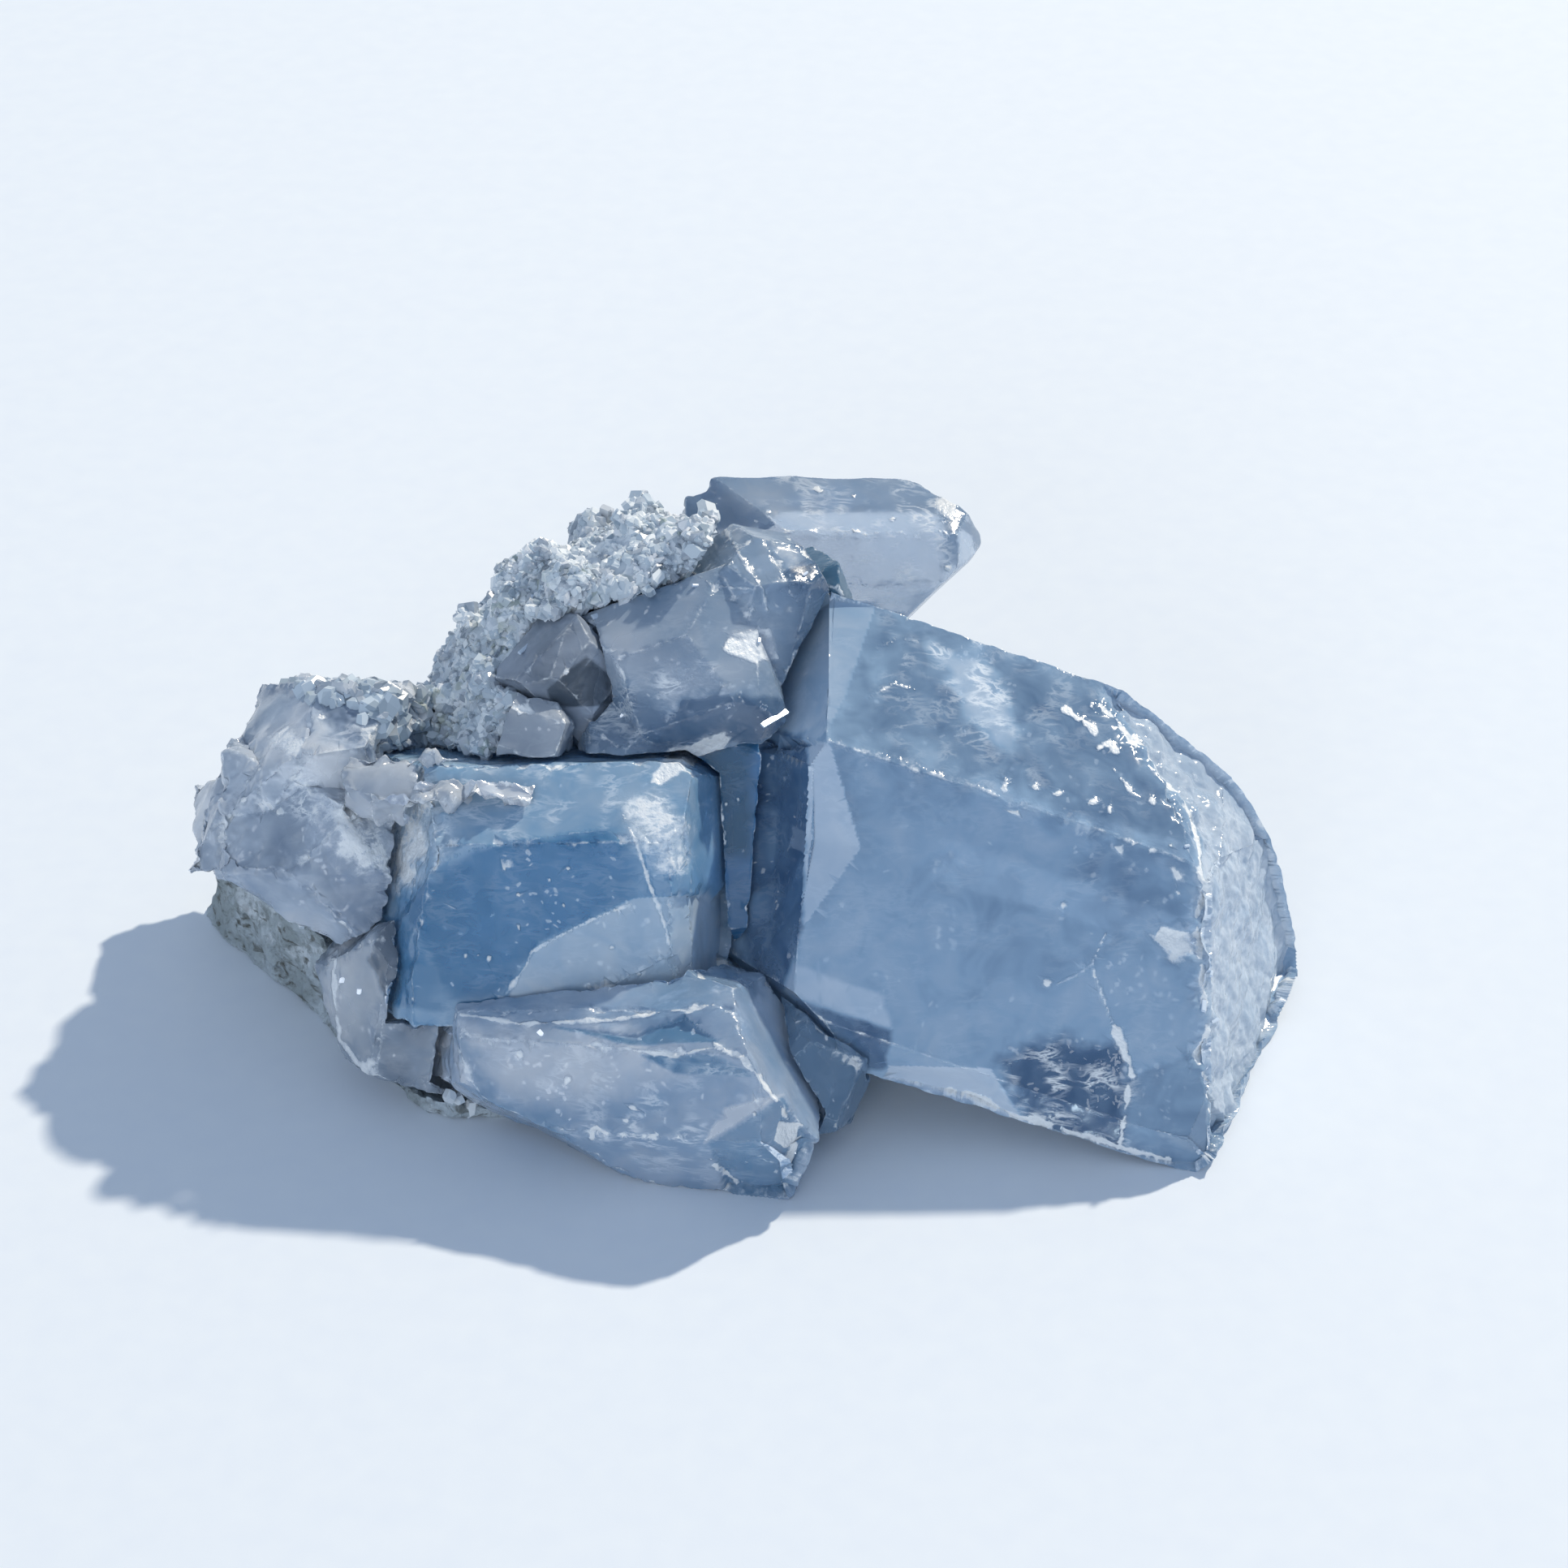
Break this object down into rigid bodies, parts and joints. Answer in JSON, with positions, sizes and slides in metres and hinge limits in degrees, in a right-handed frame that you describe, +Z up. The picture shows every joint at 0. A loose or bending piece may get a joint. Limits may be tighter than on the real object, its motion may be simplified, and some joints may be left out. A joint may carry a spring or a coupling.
{
  "type": "rough celestite specimen",
  "caption": "Hand-size cluster of rough blue celestite crystals on a broken piece of grey-green marl, with a sparkling druse.",
  "frame": {"origin": "bottom centre of the specimen's bounding box, on the plane that its flat broken underside rests on", "axes": "+X to the big crystal's broken right end, +Y to the back of the specimen, away from the viewer, +Z up"},
  "size_m": [0.0704, 0.0434, 0.0305],
  "materials": {
    "celestite_blue": "clear to hazy grey-blue crystal with inner veils, fractures and white flecks",
    "celestite_pale": "pale lavender-blue hazy crystal, frosted where it is broken",
    "celestite_druse": "milky grey-white bed of small sparkling crystals",
    "marl": "dull grey-green marl, rough and pitted"
  },
  "bodies": {
    "root": {"large_crystal": "celestite_blue", "left_crystal": "celestite_blue", "front_crystal": "celestite_pale", "corner_crystal": "celestite_pale", "west_cluster": "celestite_pale", "cleft_crystal": "celestite_blue", "upper_cluster": "celestite_blue", "foot_crystal": "celestite_blue", "notch_crystal": "celestite_blue", "back_crystal": "celestite_pale", "smoky_crystal": "celestite_blue", "chip_crystal": "celestite_pale", "ledge_flake": "celestite_blue", "druse_crust": "celestite_druse", "matrix_rock": "marl"}
  },
  "joints": []
}
